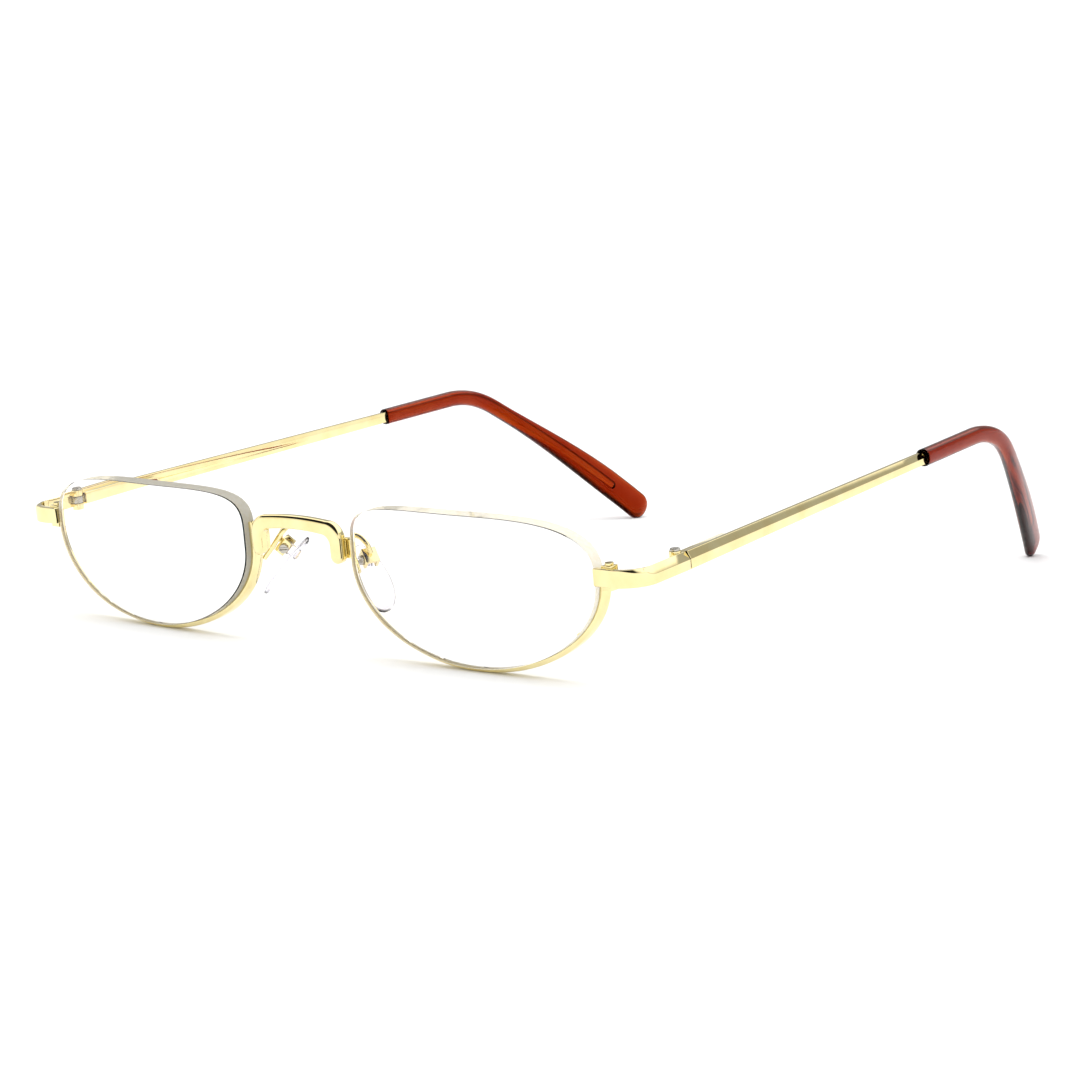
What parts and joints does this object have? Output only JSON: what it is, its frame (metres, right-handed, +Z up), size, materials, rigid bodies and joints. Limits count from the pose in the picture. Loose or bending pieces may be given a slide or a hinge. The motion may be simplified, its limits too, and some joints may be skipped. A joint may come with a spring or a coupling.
{
  "type": "reading glasses",
  "caption": "Half-moon reading glasses in pale gold metal with spring-hinged folding temples, adjustable nose pads and brown ear tips.",
  "frame": {"origin": "middle of the base, on the plane that the two rims and the two ear tips rest on", "axes": "+X towards the wearer's left, +Y back along the open temples, +Z up"},
  "size_m": [0.1372, 0.15, 0.0291],
  "materials": {
    "gold_metal": "polished pale gold plating",
    "steel": "bright turned steel",
    "lens": "clear lens with a polished bare top edge",
    "pad": "clear soft silicone, glossy",
    "tip": "polished translucent brown acetate"
  },
  "bodies": {
    "front": {"bridge": "gold_metal", "left_rim": "gold_metal", "left_lens": "lens", "left_endpiece": "gold_metal", "left_rim_lock_upper": "gold_metal", "left_rim_lock_lower": "gold_metal", "left_rim_lock_screw": "gold_metal", "left_pad_arm": "gold_metal", "left_pad_box": "gold_metal", "left_pad_screw": "steel", "left_hinge_leaf": "gold_metal", "right_rim": "gold_metal", "right_lens": "lens", "right_endpiece": "gold_metal", "right_rim_lock_upper": "gold_metal", "right_rim_lock_lower": "gold_metal", "right_rim_lock_screw": "gold_metal", "right_pad_arm": "gold_metal", "right_pad_box": "gold_metal", "right_pad_screw": "steel", "right_hinge_leaf": "gold_metal"},
    "left_pad": {"left_nose_pad": "pad"},
    "left_hinge_pin": {"left_hinge_screw": "steel"},
    "left_slider": {"left_spring_slider": "steel", "left_slider_stop": "steel"},
    "left_temple": {"left_spring": "steel", "left_spring_box": "gold_metal", "left_temple_bar": "gold_metal", "left_tip": "tip"},
    "right_pad": {"right_nose_pad": "pad"},
    "right_hinge_pin": {"right_hinge_screw": "steel"},
    "right_slider": {"right_spring_slider": "steel", "right_slider_stop": "steel"},
    "right_temple": {"right_spring": "steel", "right_spring_box": "gold_metal", "right_temple_bar": "gold_metal", "right_tip": "tip"}
  },
  "joints": [
    {"name": "left_temple_fold", "type": "hinge", "parent": "front", "child": "left_hinge_pin", "pos_m": [0.06593, -0.0588, 0.01834], "axis": [0.0007, -0.1019, 0.9948], "range_deg": [0, 85.9]},
    {"name": "left_temple_flex", "type": "hinge", "parent": "left_hinge_pin", "child": "left_slider", "pos_m": [0.06593, -0.0588, 0.01834], "axis": [0.0007, -0.1019, 0.9948], "range_deg": [-10, 0], "stiffness_Nm_per_rad": 0.3, "springref_deg": 2.86},
    {"name": "left_slider_travel", "type": "slide", "parent": "left_slider", "child": "left_temple", "axis": [-0.0715, 0.9922, 0.1017], "range_m": [0, 0.0006]},
    {"name": "left_pad_rock", "type": "hinge", "parent": "front", "child": "left_pad", "pos_m": [0.01026, -0.06556, 0.01521], "axis": [0.4044, 0.9089, 0.1017], "range_deg": [-8, 8]},
    {"name": "right_temple_fold", "type": "hinge", "parent": "front", "child": "right_hinge_pin", "pos_m": [-0.06593, -0.0588, 0.01834], "axis": [0.0007, 0.1019, -0.9948], "range_deg": [0, 81]},
    {"name": "right_temple_flex", "type": "hinge", "parent": "right_hinge_pin", "child": "right_slider", "pos_m": [-0.06593, -0.0588, 0.01834], "axis": [0.0007, 0.1019, -0.9948], "range_deg": [-10, 0], "stiffness_Nm_per_rad": 0.3, "springref_deg": 2.86},
    {"name": "right_slider_travel", "type": "slide", "parent": "right_slider", "child": "right_temple", "axis": [0.0715, 0.9922, 0.1017], "range_m": [0, 0.0006]},
    {"name": "right_pad_rock", "type": "hinge", "parent": "front", "child": "right_pad", "pos_m": [-0.01026, -0.06556, 0.01521], "axis": [0.4044, -0.9089, -0.1017], "range_deg": [-8, 8]}
  ],
  "couplings": [
    {"joint": "left_slider_travel", "follows": "left_temple_flex", "m_per_rad": -0.0034},
    {"joint": "right_slider_travel", "follows": "right_temple_flex", "m_per_rad": -0.0034}
  ]
}
